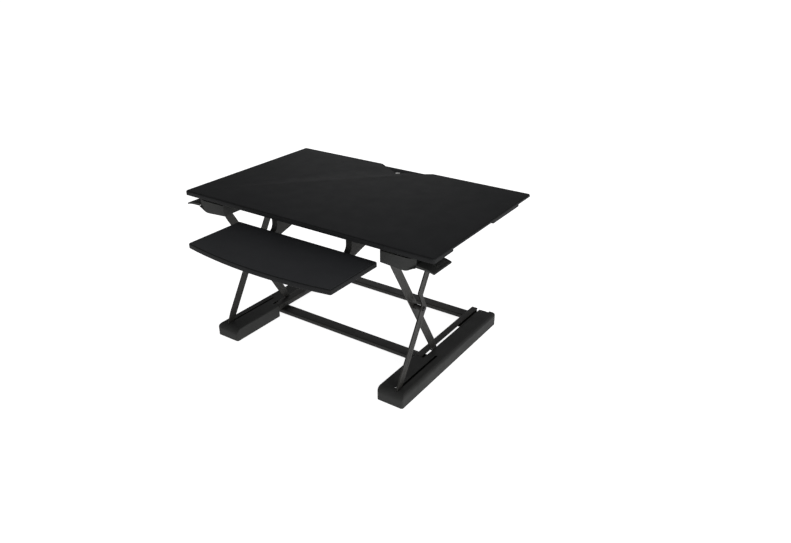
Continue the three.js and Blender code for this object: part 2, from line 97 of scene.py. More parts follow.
def add_studio():
    world = bpy.data.worlds.new("studio")
    world.use_nodes = True
    backdrop = world.node_tree.nodes["Background"]
    backdrop.inputs["Color"].default_value = (1, 1, 1, 1)
    backdrop.inputs["Strength"].default_value = 0.23
    bpy.context.scene.world = world
    middle = (0, 0, 0.25)
    add_area_light("key", (3.2, -0.9, 0.9), middle, 1.5, 46)
    add_area_light("front", (-0.3, -3.2, 0.9), middle, 2.0, 9)
    add_area_light("rear", (-1.6, 2.6, 1.6), middle, 2.0, 8)


def add_floor():
    size = 60
    bpy.ops.mesh.primitive_plane_add(size=size, location=(0, 0, -0.0005))
    floor = bpy.context.object
    floor.name = "floor"
    surface = bpy.data.materials.new("pale_floor")
    surface.use_nodes = True
    shader = surface.node_tree.nodes["Principled BSDF"]
    shader.inputs["Base Color"].default_value = (0.86, 0.86, 0.86, 1)
    shader.inputs["Roughness"].default_value = 0.9
    shader.inputs["Specular IOR Level"].default_value = 0.1
    shader.inputs["Emission Color"].default_value = (1, 1, 1, 1)
    shader.inputs["Emission Strength"].default_value = 0.9
    floor.data.materials.append(surface)


# ---------------------------------------------------------------- materials
def add_node(tree, kind, inputs=None, **settings):
    node = tree.nodes.new(kind)
    for key, value in settings.items():
        setattr(node, key, value)
    for key, value in (inputs or {}).items():
        socket = node.inputs[key]
        if isinstance(value, bpy.types.NodeSocket):
            tree.links.new(value, socket)
        else:
            socket.default_value = value
    return node


MIX_A, MIX_B, MIX_OUT = 6, 7, 2  # a Mix node's colour sockets


def mix_color(tree, factor, a, b):
    return add_node(tree, "ShaderNodeMix", {0: factor, MIX_A: a, MIX_B: b}, data_type="RGBA").outputs[MIX_OUT]


def noise(tree, where, scale, detail=3.0, rough=0.55):
    inputs = {"Vector": where, "Scale": scale, "Detail": detail, "Roughness": rough}
    return add_node(tree, "ShaderNodeTexNoise", inputs).outputs[0]


def cells(tree, where, scale):
    inputs = {"Vector": where, "Scale": scale, "Randomness": 1.0}
    return add_node(tree, "ShaderNodeTexVoronoi", inputs, feature="SMOOTH_F1").outputs["Distance"]


def ramp(tree, value, low, high, out_low=0.0, out_high=1.0):
    inputs = {"Value": value, "From Min": low, "From Max": high, "To Min": out_low, "To Max": out_high}
    return add_node(tree, "ShaderNodeMapRange", inputs).outputs[0]


def product(tree, a, b):
    return add_node(tree, "ShaderNodeMath", {0: a, 1: b}, operation="MULTIPLY").outputs[0]


def total(tree, a, b):
    return add_node(tree, "ShaderNodeMath", {0: a, 1: b}, operation="ADD").outputs[0]


def worn_and_lit_edge_mask(tree, where, radius, patch_scale):
    """Lighter along outer edges, broken up by noise: partly where a real finish rubs thin, and partly a painted
    highlight where the edges catch the light.
    """
    rounded = add_node(tree, "ShaderNodeBevel", {"Radius": radius * MM}, samples=4).outputs[0]
    flat = add_node(tree, "ShaderNodeNewGeometry").outputs["Normal"]
    facing = add_node(tree, "ShaderNodeVectorMath", {0: rounded, 1: flat}, operation="DOT_PRODUCT")
    edges = ramp(tree, facing.outputs["Value"], 0.995, 0.90)
    patches = ramp(tree, noise(tree, where, patch_scale, 4.0), 0.42, 0.62)
    return product(tree, edges, patches)


def surface(name, tones, rough, metal=0.0, level=0.4, mottle=9.0, bumps=(), wear_and_highlight=None,
            stretch=None, speckle=0.0):
    """A procedural finish.

    tones: its two base colours, mixed by a soft mottle; rough: lowest and highest roughness;
    bumps: (kind, scale per metre, height in mm) layers; the edge setting: (colour, radius in mm, amount) of
    lighter outer edges, partly real wear and partly a painted highlight.
    """
    material = bpy.data.materials.new(name)
    material.use_nodes = True
    tree = material.node_tree
    shader = tree.nodes["Principled BSDF"]
    where = add_node(tree, "ShaderNodeTexCoord").outputs["Object"]
    if stretch:
        where = add_node(tree, "ShaderNodeMapping", {"Vector": where, "Scale": stretch}).outputs[0]
    clouds = noise(tree, where, mottle, 5.0, 0.6)
    color = mix_color(tree, ramp(tree, clouds, 0.3, 0.7), (*tones[0], 1), (*tones[1], 1))
    if speckle:
        dots = ramp(tree, noise(tree, where, 2600, 2.0), 0.55, 0.75, 0.0, speckle)
        lighter = tuple(min(1.0, tone * 2.1 + 0.01) for tone in tones[1])
        color = mix_color(tree, dots, color, (*lighter, 1))
    smudges = noise(tree, where, mottle * 2.3, 6.0, 0.65)
    roughness = ramp(tree, smudges, 0.3, 0.7, *rough)
    if wear_and_highlight:
        worn_and_lit_color, radius, amount = wear_and_highlight
        # lighter outer edges: partly a worn finish, partly a painted highlight
        mask = product(tree, worn_and_lit_edge_mask(tree, where, radius, 60.0), amount)
        color = mix_color(tree, mask, color, (*worn_and_lit_color, 1))
        roughness = total(tree, roughness, product(tree, mask, -0.12))
    normal = None
    for kind, scale, height in bumps:
        pattern = {"noise": noise, "cells": cells}[kind](tree, where, scale)
        inputs = {"Height": pattern, "Distance": height * MM, "Strength": 1.0}
        if normal is not None:
            inputs["Normal"] = normal
        normal = add_node(tree, "ShaderNodeBump", inputs).outputs[0]
    tree.links.new(color, shader.inputs["Base Color"])
    tree.links.new(roughness, shader.inputs["Roughness"])
    if normal is not None:
        tree.links.new(normal, shader.inputs["Normal"])
    shader.inputs["Metallic"].default_value = metal
    shader.inputs["Specular IOR Level"].default_value = level
    return material


FINISHES = {
    # fine pebbled laminate, almost black with a cool cast
    "laminate": surface("laminate", ((0.0175, 0.0182, 0.0198), (0.0205, 0.0212, 0.023)), (0.64, 0.7),
                        level=0.1, bumps=(("cells", 1500, 0.05), ("noise", 420, 0.04)), speckle=0.3,
                        wear_and_highlight=((0.06, 0.06, 0.062), 1.6, 0.35)),
    # the same laminate, painted lighter on the tray to offset the shade that the worktop casts on it
    "tray_laminate_painted_light": surface("tray_laminate_painted_light", ((0.043, 0.0445, 0.048), (0.05, 0.0517, 0.0556)), (0.64, 0.7),
                             level=0.1, bumps=(("cells", 1500, 0.05), ("noise", 420, 0.04)), speckle=0.3,
                             wear_and_highlight=((0.09, 0.09, 0.092), 1.6, 0.35)),
    # the smoother band round the boards' edges, painted darker as shade against the extra light that the side
    # faces catch
    "rim_band_painted_shade": surface("rim_band_painted_shade", ((0.0125, 0.0128, 0.0135), (0.0148, 0.0151, 0.0158)), (0.56, 0.64),
                         level=0.08,
                         bumps=(("noise", 900, 0.03),), wear_and_highlight=((0.1, 0.1, 0.1), 1.2, 0.4)),
    # spark-textured moulded plastic
    "shell_plastic": surface("shell_plastic", ((0.03, 0.0304, 0.03), (0.038, 0.0384, 0.0375)), (0.5, 0.62),
                             level=0.06, bumps=(("cells", 1900, 0.045), ("noise", 700, 0.04)), speckle=0.25,
                             wear_and_highlight=((0.09, 0.09, 0.088), 1.2, 0.45)),
    # powder coat with its orange peel
    "coated_steel": surface("coated_steel", ((0.021, 0.0206, 0.0196), (0.028, 0.0273, 0.026)), (0.46, 0.58),
                            metal=0.02, level=0.12, bumps=(("noise", 520, 0.09), ("noise", 1900, 0.03)),
                            speckle=0.2, wear_and_highlight=((0.14, 0.135, 0.125), 0.9, 0.55)),
    # the arms' warmer coat
    "arm_steel": surface("arm_steel", ((0.0155, 0.015, 0.0136), (0.0212, 0.0205, 0.0186)), (0.42, 0.54),
                         metal=0.03, level=0.22, bumps=(("noise", 480, 0.1), ("noise", 1700, 0.03)),
                         speckle=0.2, wear_and_highlight=((0.2, 0.19, 0.175), 0.9, 0.6)),
    # zinc-plated fasteners and pins
    "plain_steel": surface("plain_steel", ((0.2, 0.2, 0.195), (0.31, 0.31, 0.3)), (0.26, 0.44), metal=0.95,
                           mottle=60.0, bumps=(("noise", 1500, 0.02), ("noise", 260, 0.02)),
                           wear_and_highlight=((0.5, 0.5, 0.49), 0.6, 0.5)),
    # blackened screw heads
    "dark_screw": surface("dark_screw", ((0.016, 0.016, 0.0165), (0.027, 0.027, 0.028)), (0.3, 0.46),
                          metal=0.6,
                          mottle=120.0, bumps=(("noise", 1800, 0.03),), wear_and_highlight=((0.16, 0.16, 0.16), 0.5, 0.7)),
    # ground and polished rod
    "rod_steel": surface("rod_steel", ((0.5, 0.505, 0.515), (0.6, 0.605, 0.61)), (0.07, 0.17), metal=1.0,
                         mottle=30.0, bumps=(("noise", 900, 0.004),), stretch=(1, 12, 1)),
    # matt rubber with a dusty bloom
    "rubber": surface("rubber", ((0.009, 0.009, 0.009), (0.017, 0.017, 0.0165)), (0.72, 0.92), level=0.25,
                      mottle=40.0, bumps=(("cells", 900, 0.1), ("noise", 2200, 0.04)),
                      wear_and_highlight=((0.05, 0.05, 0.048), 1.0, 0.5)),
    # the bush in the worktop's hole, painted near-white: a painted highlight on its rim
    "bush_painted_highlight": surface("bush_painted_highlight", ((0.7, 0.7, 0.69), (0.82, 0.82, 0.81)), (0.3, 0.42), mottle=80.0,
                          bumps=(("noise", 1200, 0.02),)),
    # turned nylon
    "nylon": surface("nylon", ((0.017, 0.017, 0.0175), (0.026, 0.026, 0.0265)), (0.3, 0.46), level=0.5,
                     mottle=50.0, bumps=(("noise", 1300, 0.03),), stretch=(6, 1, 1),
                     wear_and_highlight=((0.08, 0.08, 0.08), 0.6, 0.5)),
}


# ---------------------------------------------------------------- outlines
def outline(corners, steps=8):
    """Corners are (a, b) or (a, b, radius); a radius rounds the corner with an arc."""
    points = []
    for i, corner in enumerate(corners):
        here = Vector(corner[:2])
        if len(corner) == 2 or corner[2] <= 0:
            points.append(here)
            continue
        back = (Vector(corners[i - 1][:2]) - here).normalized()
        ahead = (Vector(corners[(i + 1) % len(corners)][:2]) - here).normalized()
        half = back.angle(ahead) / 2
        centre = here + (back + ahead).normalized() * (corner[2] / math.sin(half))
        start = here + back * (corner[2] / math.tan(half)) - centre
        end = here + ahead * (corner[2] / math.tan(half)) - centre
        first = math.atan2(start.y, start.x)
        sweep = math.remainder(math.atan2(end.y, end.x) - first, 2 * math.pi)
        for k in range(steps + 1):
            angle = first + sweep * k / steps
            points.append(centre + Vector((math.cos(angle), math.sin(angle))) * corner[2])
    return points


def rectangle(a0, a1, b0, b1, radius=0.0, steps=6):
    return outline([(a0, b0, radius), (a1, b0, radius), (a1, b1, radius), (a0, b1, radius)], steps)


def circle(a, b, radius, sides=40):
    turns = [2 * math.pi * k / sides for k in range(sides)]
    return [Vector((a + radius * math.cos(t), b + radius * math.sin(t))) for t in turns]


def smooth_line(knots, steps=6):
    """A soft curve through the knots."""
    ends = [knots[0], *knots, knots[-1]]
    points = []
    for p0, p1, p2, p3 in zip(ends, ends[1:], ends[2:], ends[3:]):
        p0, p1, p2, p3 = (Vector(p) for p in (p0, p1, p2, p3))
        for k in range(steps):
            t = k / steps
            points.append(0.5 * (2 * p1 + (p2 - p0) * t + (2 * p0 - 5 * p1 + 4 * p2 - p3) * t * t
                                 + (3 * p1 - p0 - 3 * p2 + p3) * t ** 3))
    return [*points, Vector(knots[-1])]


def shrink(points, by):
    """The outline moved inwards by a distance, corner by corner."""
    pairs = list(zip(points, points[1:] + points[:1]))
    side = 1 if sum(a.x * b.y - b.x * a.y for a, b in pairs) > 0 else -1
    moved = []
    for i, here in enumerate(points):
        before = (here - points[i - 1]).normalized()
        after = (points[(i + 1) % len(points)] - here).normalized()
        n1, n2 = Vector((-before.y, before.x)) * side, Vector((-after.y, after.x)) * side
        moved.append(here + (n1 + n2) * (by / (1 + n1.dot(n2))))
    return moved


# ---------------------------------------------------------------- meshes
ORDER = {"x": (1, 2, 0), "y": (0, 2, 1), "z": (0, 1, 2)}  # where an outline's two numbers and its height go


def lift(points, axis, height):
    i, j, k = ORDER[axis]
    ring = []
    for a, b in points:
        corner = [0.0, 0.0, 0.0]
        corner[i], corner[j], corner[k] = a, b, height
        ring.append(corner)
    return ring


def new_object(name, bm):
    bmesh.ops.recalc_face_normals(bm, faces=bm.faces)
    mesh = bpy.data.meshes.new(name)
    bm.to_mesh(mesh)
    bm.free()
    obj = bpy.data.objects.new(name, mesh)
    bpy.context.scene.collection.objects.link(obj)
    return obj


def skin(rings, name="part", closed=False):
    """A skin over rings of points: with flat ends, or closed into a ring of its own."""
    bm = bmesh.new()
    rows = [[bm.verts.new(Vector(p) * MM) for p in ring] for ring in rings]
    for lower, upper in zip(rows, rows[1:] + rows[:1] if closed else rows[1:]):
        for i in range(len(lower)):
            j = (i + 1) % len(lower)
            bm.faces.new((lower[i], lower[j], upper[j], upper[i]))
    if not closed:
        bm.faces.new(rows[0][::-1])
        bm.faces.new(rows[-1])
    return new_object(name, bm)


def prism(points, axis, low, high):
    return skin([lift(points, axis, low), lift(points, axis, high)])


def block(x0, x1, y0, y1, z0, z1):
    return prism(rectangle(x0, x1, y0, y1), "z", z0, z1)


def slab(points, axis, low, high, round_low, round_high, steps=5):
    """A prism whose two ends have rounded edges."""
    turns = [math.pi / 2 * k / steps for k in range(steps + 1)]
    rings = [lift(shrink(points, round_low * (1 - math.sin(t))), axis, low + round_low * (1 - math.cos(t)))
             for t in turns]
    rings += [lift(shrink(points, round_high * (1 - math.cos(t))), axis,
                   high - round_high * (1 - math.sin(t))) for t in turns]
    return skin(rings)


def turned(profile, axis, centre, sides=36, closed=False):
    """A turned piece: (radius, place) pairs along a line through centre."""
    rings = []
    for radius, place in profile:
        rings.append(lift(circle(centre[0], centre[1], radius, sides), axis, place))
    return skin(rings, closed=closed)


def bake(obj):
    """Applies the modifiers to the mesh."""
    graph = bpy.context.evaluated_depsgraph_get()
    mesh = bpy.data.meshes.new_from_object(obj.evaluated_get(graph))
    obj.modifiers.clear()
    old = obj.data
    obj.data = mesh
    bpy.data.meshes.remove(old)
    return obj


def remove(obj):
    mesh = obj.data
    bpy.data.objects.remove(obj)
    bpy.data.meshes.remove(mesh)


def carve(obj, *tools, how="DIFFERENCE"):
    for tool in tools:
        boolean = obj.modifiers.new("carve", "BOOLEAN")
        boolean.operation = how
        boolean.solver = "EXACT"
        boolean.object = tool
    bake(obj)
    for tool in tools:
        remove(tool)
    return obj


def weld(obj, *others):
    return carve(obj, *others, how="UNION")


def gather(*objects):
    """Several separate solids as one object."""
    bm = bmesh.new()
    for obj in objects:
        bm.from_mesh(obj.data)
        remove(obj)
    return new_object("part", bm)


def gather_into(obj, *others):
    """Adds separate solids to an object's mesh."""
    bm = bmesh.new()
    bm.from_mesh(obj.data)
    for other in others:
        bm.from_mesh(other.data)
        remove(other)
    bmesh.ops.recalc_face_normals(bm, faces=bm.faces)
    bm.to_mesh(obj.data)
    bm.free()
    return obj


def soften(obj, width, segments=3, angle=40.0):
    """Rounded edges, as every real edge has, and smooth shading between them."""
    for polygon in obj.data.polygons:
        polygon.use_smooth = True
    bevel = obj.modifiers.new("edges", "BEVEL")
    bevel.width = width * MM
    bevel.segments = segments
    bevel.limit_method = "ANGLE"
    bevel.angle_limit = math.radians(angle)
    bevel.use_clamp_overlap = False
    bevel.harden_normals = True
    return obj


def tilted(obj, pivot, angle):
    """Moves a mesh made in an arm's own frame to its place at rest."""
    turn = Matrix.Translation(pivot * MM) @ Matrix.Rotation(angle, 4, "X")
    obj.data.transform(turn)
    return obj


def mirrored(obj):
    mesh = obj.data.copy()
    mesh.transform(Matrix.Scale(-1, 4, Vector((1, 0, 0))))
    mesh.flip_normals()
    twin = bpy.data.objects.new(obj.name + "_twin", mesh)
    bpy.context.scene.collection.objects.link(twin)
    for source in obj.modifiers:
        copy = twin.modifiers.new(source.name, source.type)
        for key in ("width", "segments", "limit_method", "angle_limit", "use_clamp_overlap",
                    "harden_normals"):
            setattr(copy, key, getattr(source, key))
    return twin


# ---------------------------------------------------------------- giving pieces their place and finish
def paint(obj, finish):
    obj.data.materials.clear()
    obj.data.materials.append(FINISHES[finish])


def install(obj, name, node, finish=None, stands_for=True):
    """Names and paints a new piece, and ties it to the CAD node that it replaces or adds to."""
    obj.name = name
    obj.data.name = name
    slot = finish or SLOT_OF[node]
    if not obj.data.materials:
        paint(obj, slot)
    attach(obj, BODY_OF[node])
    if stands_for:
        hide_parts(node)
    return obj


def install_pair(obj, name, node, finish=None, stands_for=True):
    """Installs a right-hand piece and its mirrored twin."""
    twin = mirrored(obj)
    for piece, side in ((obj, "right"), (twin, "left")):
        install(piece, f"{name}_{side}", f"{node}_{side}", finish, stands_for)


def keep_cad(node):
    """A CAD node that stays: its flat faces are joined again, its edges rounded, and its finish is set."""
    obj = frame["nodes"][node]
    for polygon in obj.data.polygons:
        polygon.use_smooth = True
    join = obj.modifiers.new("join", "WELD")
    join.merge_threshold = 0.002 * MM
    flat = obj.modifiers.new("flat", "DECIMATE")
    flat.decimate_type = "DISSOLVE"
    flat.angle_limit = math.radians(1.0)
    soften(obj, 0.35, 2)
    paint(obj, SLOT_OF[node])


# ---------------------------------------------------------------- fasteners
def screw_head(radius):
    """A pan-head screw seen from above, with a cross recess, its seat at height 0."""
    dome = [(radius, -0.4), (radius, 0.25 * radius), (0.9 * radius, 0.42 * radius),
            (0.66 * radius, 0.56 * radius), (0.3 * radius, 0.62 * radius)]
    head = turned(dome, "z", (0, 0), 28)
    arm, width, deep = 0.58 * radius, 0.13 * radius, 0.22 * radius
    slots = [block(-arm, arm, -width, width, deep, radius), block(-width, width, -arm, arm, deep, radius)]
    return carve(head, *slots)


def hex_head(across, tall, washer):
    """A hexagon bolt head on a washer, its seat at height 0."""
    flat = across / 2 / math.cos(math.pi / 6)
    disc = turned([(washer - 0.3, 0), (washer, 0.3), (washer, 1.3), (washer - 0.3, 1.6)], "z", (0, 0), 36)
    ring = circle(0, 0, flat, 6)
    nut = prism(ring, "z", 1.6, tall)
    chamfer = [(across * 0.62, 1.0), (across * 0.62, tall * 0.72), (across * 0.46, tall + 0.02)]
    crown = turned(chamfer, "z", (0, 0), 36)
    return gather(disc, carve(nut, crown, how="INTERSECT"))


def placed_copies(master, places):
    """One object made of copies of a master whose up side points along each given direction."""
    bm = bmesh.new()
    for k, (where, up) in enumerate(places):
        mesh = master.data.copy()
        spin = Matrix.Rotation(0.7 * k, 4, "Z")
        turn = Vector(up).to_track_quat("Z", "Y").to_matrix().to_4x4()
        mesh.transform(Matrix.Translation(Vector(where) * MM) @ turn @ spin)
        bm.from_mesh(mesh)
        bpy.data.meshes.remove(mesh)
    return new_object("copies", bm)


def screws(places, radius=3.6):
    master = screw_head(radius)
    made = placed_copies(master, places)
    remove(master)
    return soften(made, 0.12, 2)


# ---------------------------------------------------------------- worktop and tray
def split_shaded_rim_band(obj, top="laminate"):
    """The boards' rims get the smoother band's finish, painted darker as shade on the side faces."""
    obj.data.materials.clear()
    obj.data.materials.append(FINISHES[top])
    obj.data.materials.append(FINISHES["rim_band_painted_shade"])
    # side faces take the band with painted shade, tops keep the laminate
    for polygon in obj.data.polygons:
        polygon.material_index = 1 if abs(polygon.normal.z) < 0.85 else 0


def make_desktop():
    low, high = box_mm("desktop")
    middle = (low.y + high.y) / 2
    notch_outer, notch_inner, notch_deep, notch_round = 103, 78, 17, 7
    plan = outline([
        (low.x, low.y, 9), (high.x, low.y, 9), (high.x, high.y, 8), (notch_outer, high.y, notch_round),
        (notch_inner, high.y - notch_deep, notch_round), (-notch_inner, high.y - notch_deep, notch_round),
        (-notch_outer, high.y, notch_round), (low.x, high.y, 8),
    ], 10)
    board = slab(plan, "z", low.z, high.z, 1.6, 5.2, 7)
    scoop_reach, thin_edge = 26, 7.9
    hole = middle + 229
    tools = [turned([(5, low.z - 5), (5, high.z - 3), (9, high.z + 1)], "z", (0, hole), 40)]
    for side in (-1, 1):
        for start, end in ((-194, 37), (204, 330)):
            edge = high.x + 1
            inner = high.x - scoop_reach
            slope = [Vector((side * inner, low.z)), Vector((side * edge, high.z - thin_edge)),
                     Vector((side * edge, low.z - 5)), Vector((side * inner, low.z - 5))]
            tools.append(prism(slope, "y", middle + start, middle + end))
    carve(board, *tools)
    soften(board, 0.7, 3, 48)
    split_shaded_rim_band(board)
    install(board, "desktop_board", "desktop")
    profile = [(3.8, low.z + 1), (4.9, low.z + 1), (4.9, high.z - 3.1), (7.7, high.z - 0.3),
               (7.2, high.z - 0.1), (5.4, high.z - 0.9), (3.8, high.z - 2.8)]
    ring = soften(turned(profile, "z", (0, hole), 40, closed=True), 0.15, 2)
    # the bush's near-white colour is a painted highlight
    bush = install(ring, "desktop_bush", "desktop", "bush_painted_highlight", False)


def make_tray():
    low, high = box_mm("keyboard_tray")
    bow, corner, half = 24, 6, high.x
    side = low.y + bow
    front = [(half * k / 12, side - bow * (1 - (k / 12) ** 2)) for k in range(-10, 11)]
    rear = [(half, high.y, 5), (-half, high.y, 5)]
    plan = outline([*rear, (-half, side, corner), *front, (half, side, corner)], 10)
    board = slab(plan, "z", low.z, high.z, 1.8, 4.4, 7)
    soften(board, 0.3, 2, 60)
    # the tray's lighter laminate is painted light against the worktop's shadow
    split_shaded_rim_band(board, "tray_laminate_painted_light")
    install(board, "keyboard_tray_board", "keyboard_tray")


def make_hangers():
    low, high = box_mm("tray_hanger_right")
    tray_low = box_mm("keyboard_tray")[0].z
    wall, tongue = 2.5, tray_low - 0.3
    front = low.y + 158
    side = outline([
        (front, high.z), (front, tongue, 26), (low.y, tongue), (low.y, tongue - 4, 2),
        (front - 36, tongue - 5, 12), (front - 10, low.z, 12), (front + 66, low.z + 20.5, 30),
        (front + 104, low.z + 48, 20), (high.y, high.z),
    ], 10)
    bracket = prism(side, "x", low.x, high.x)
    inside = outline([(front + wall, high.z + 1), (front + wall, tongue - 8, 12),
                      (high.y + 14, tongue - 8), (high.y + 14, high.z + 1)], 8)
    pocket = prism(inside, "x", low.x + wall, high.x - wall)
    holes = [prism(circle((low.x + high.x) / 2, y, 3.2, 24), "z", tongue - 20, tongue + 5)
             for y in (low.y + 16, low.y + 78)]
    soften(carve(bracket, pocket, *holes), 0.55)
    install_pair(bracket, "tray_hanger_bent", "tray_hanger")
    centre = (low.x + high.x) / 2
    heads = screws([((centre, y, tongue - 4.3), (0, 0, -1)) for y in (low.y + 16, low.y + 78)], 4.2)
    install_pair(heads, "tray_screws", "tray_hanger", "dark_screw", False)


# ---------------------------------------------------------------- feet
STRIP_EDGE = 313.3
NOSE_SCREW = Vector((329.8, box_mm("foot_cover_right")[0].y + 28))


def make_foot_covers():
    low, high = box_mm("foot_cover_right")
    wall = 2.5
    nose_rear = low.y + 205
    groove = (336, 344.6, low.y + 15, low.y + 240)

    def form(inset, bottom):
        across = outline([(low.x + inset, bottom), (high.x - inset, bottom),
                          (high.x - inset, high.z - inset, 15 - inset),
                          (low.x + inset, high.z - inset, 5 - inset)], 12)
        lengthwise = outline([(low.y + inset, bottom), (high.y - inset, bottom),
                              (high.y - inset, high.z - inset, 5 - inset),
                              (low.y + inset, high.z - inset, 26 - inset)], 16)
        plan = outline([(low.x + inset, low.y + inset, 7 - inset), (high.x - inset, low.y + inset, 7 - inset),
                        (high.x - inset, high.y - inset, 8 - inset), (low.x + inset, high.y - inset)], 12)
        return carve(prism(across, "y", low.y - 1, high.y + 1), prism(lengthwise, "x", low.x - 1, high.x + 1),
                     prism(plan, "z", bottom, high.z + 1), how="INTERSECT")

    shell = form(0, low.z)
    behind_nose = block(low.x - 5, STRIP_EDGE, nose_rear, high.y + 5, -5, high.z + 5)
    arm_groove = prism(rectangle(groove[0], groove[1], groove[2], groove[3], 3), "z", high.z - 10, high.z + 5)
    rear_step = block(STRIP_EDGE - 1, 348, high.y - 12, high.y + 1, high.z - 7, high.z + 5)
    ledge = block(318, 320, low.y + 434, low.y + 512, high.z - 1.4, high.z + 5)
    carve(shell, form(wall, -5), behind_nose, arm_groove, ledge)
    carve(shell, prism(circle(NOSE_SCREW.x, NOSE_SCREW.y, 2.9, 28), "z", high.z - 5, high.z + 5))
    step_floor = block(STRIP_EDGE, 348, high.y - 12, high.y - 0.2, high.z - 7 - wall, high.z - 7)
    step_front = block(STRIP_EDGE, 348, high.y - 12 - wall, high.y - 12, high.z - 7 - wall, high.z - 1)
    carve(shell, rear_step)
    weld(shell, step_floor, step_front)
    soften(shell, 0.6)
    install_pair(shell, "foot_cover_shell", "foot_cover")
    beam_outer = box_mm("foot_beam_right")[1].x
    ribs = [prism(outline([(beam_outer + 0.5, low.z + 8), (high.x - wall - 0.2, low.z + 3),
                           (high.x - wall - 0.2, high.z - 16, 12), (beam_outer + 0.5, high.z - 3.4)], 6),
                  "y", low.y + 222 + 56 * k, low.y + 224 + 56 * k) for k in range(6)]
    install_pair(soften(gather(*ribs), 0.3, 2), "foot_cover_ribs", "foot_cover", None, False)
    # the nose screw takes the black rubber finish as painted shade, so that its hole reads dark
    seats = [((NOSE_SCREW.x, NOSE_SCREW.y, high.z - 4.6), (0, 0, 1))]
    install_pair(screws(seats, 3.6), "foot_screw_painted_shade", "foot_cover", "rubber", False)


def make_lower_tracks():
    low, high = box_mm("lower_track_right")
    wall, fold, ledge = 2.3, 31, 291
    section = outline([
        (low.x, high.z, 2.4), (low.x, fold + 1.4, 0.8), (low.x + 1.4, fold, 0.8), (low.x + 1.4, low.z, 2.2),
        (ledge, low.z, 0.5), (ledge, low.z + wall, 0.5), (low.x + 1.4 + wall, low.z + wall, 0.8),
        (low.x + 1.4 + wall, fold + 1.4, 0.8), (low.x + wall, fold + 3, 0.8),
        (low.x + wall, high.z - wall, 0.8),
        (high.x, high.z - wall, 0.5), (high.x, high.z, 0.5),
    ], 4)
    rail = soften(prism(section, "y", low.y, high.y), 0.25, 2)
    install_pair(rail, "lower_rail", "lower_track")
    rivets = [((low.x + 0.1, low.y + 24 + 108 * k, 38.5), (-1, 0, 0)) for k in range(4)]
    install_pair(screws(rivets, 3.0), "rail_screws", "lower_track", "dark_screw", False)
    stops = [prism(rectangle(low.x + 4.2, high.x - 1, low.z + 2.7, high.z - 2.7, 2), "y", y, y + 7)
             for y in (low.y + 1.5, high.y - 8.5)]
    install_pair(soften(gather(*stops), 0.5), "rail_stops", "lower_track", "rubber", False)


def make_crossbars():
    wall = 1.6
    for place in ("front", "rear"):
        node = f"base_crossbar_{place}"
        low, high = box_mm(node)
        front = high.y - 41
        bar = prism(rectangle(front, high.y, low.z, high.z, 3.2, 6), "x", low.x, high.x)
        hollow = prism(rectangle(front + wall, high.y - wall, low.z + wall, high.z - wall, 1.8, 5), "x",
                       low.x - 1, high.x + 1)
        carve(bar, hollow)
        if place == "rear":
            rail = box_mm("lower_track_right")[0].x
            plans = [rectangle(side * (rail + 2), side * high.x, low.y, front + 10, 5) for side in (-1, 1)]
            plates = [prism(plan, "z", high.z - 3, high.z) for plan in plans]
            weld(bar, *plates)
        soften(bar, 0.35, 2)
        install(bar, f"{node}_tube", node)
        reach = box_mm("lower_track_right")[0].x - 16
        heads = [((side * reach, front + y, high.z), (0, 0, 1)) for side in (-1, 1) for y in (11, 30)]
        heads += [((side * reach, front + y, low.z), (0, 0, -1)) for side in (-1, 1) for y in (11, 30)]
        bolts = install(screws(heads, 4.0), f"{node}_screws", node, "dark_screw", False)


def make_pads():
    for place in ("front", "rear"):
        node = f"rubber_pad_{place}"
        low, high = box_mm(f"{node}_right")
        pad = slab(rectangle(low.x, high.x, low.y, high.y, 6, 8), "z", low.z, high.z, 0.7, 0.3, 3)
        grooves = [block(low.x - 1, high.x + 1, y, y + 1.4, low.z - 1, low.z + 0.9)
                   for y in (low.y + 5 + 5.6 * k for k in range(7))]
        carve(pad, *grooves)
        install_pair(soften(pad, 0.12, 2), f"{node}_tread", node)


# ---------------------------------------------------------------- scissor arms
FOOT_PIVOT, TOP_PIVOT, CROSSING = joint_mm("lift"), joint_mm("top_pivot"), joint_mm("cross_pivot")
ARM_LENGTH = 2 * (CROSSING - FOOT_PIVOT).length
ARM_ANGLE = math.atan2(CROSSING.z - FOOT_PIVOT.z, CROSSING.y - FOOT_PIVOT.y)
ARM_THICK, ARM_WIDTH, END_RADIUS, TAPER, BORE = 4.5, 28, 8.4, 46, 5.25
JOGGLE_START, JOGGLE_END = 261, 288


def arm_plan():
    """An arm's outline along its length (from 0 at its front pivot) and across its width."""
    half, end = ARM_WIDTH / 2, ARM_LENGTH + END_RADIUS
    near = [(-END_RADIUS, END_RADIUS, END_RADIUS), (-END_RADIUS, -END_RADIUS, END_RADIUS)]
    far = [(end, -END_RADIUS, END_RADIUS), (end, END_RADIUS, END_RADIUS)]
    return outline([(TAPER, half, 30), *near, (TAPER, -half, 30), (ARM_LENGTH - TAPER, -half, 30), *far,
                    (ARM_LENGTH - TAPER, half, 30)], 10)


def bores(x0, x1):
    return [prism(circle(at, 0, BORE, 32), "x", x0, x1) for at in (0, ARM_LENGTH / 2, ARM_LENGTH)]


def swage(x_face, out, start, end):
    """A shallow pressed channel down an arm's face, which stiffens it."""
    deep, half, radius = 0.7, 6.5, 6.4
    low, high = sorted((x_face - out * deep, x_face + out * 2))
    return slab(rectangle(start, end, -half, half, radius), "x", low, high, 0, 0, 1)


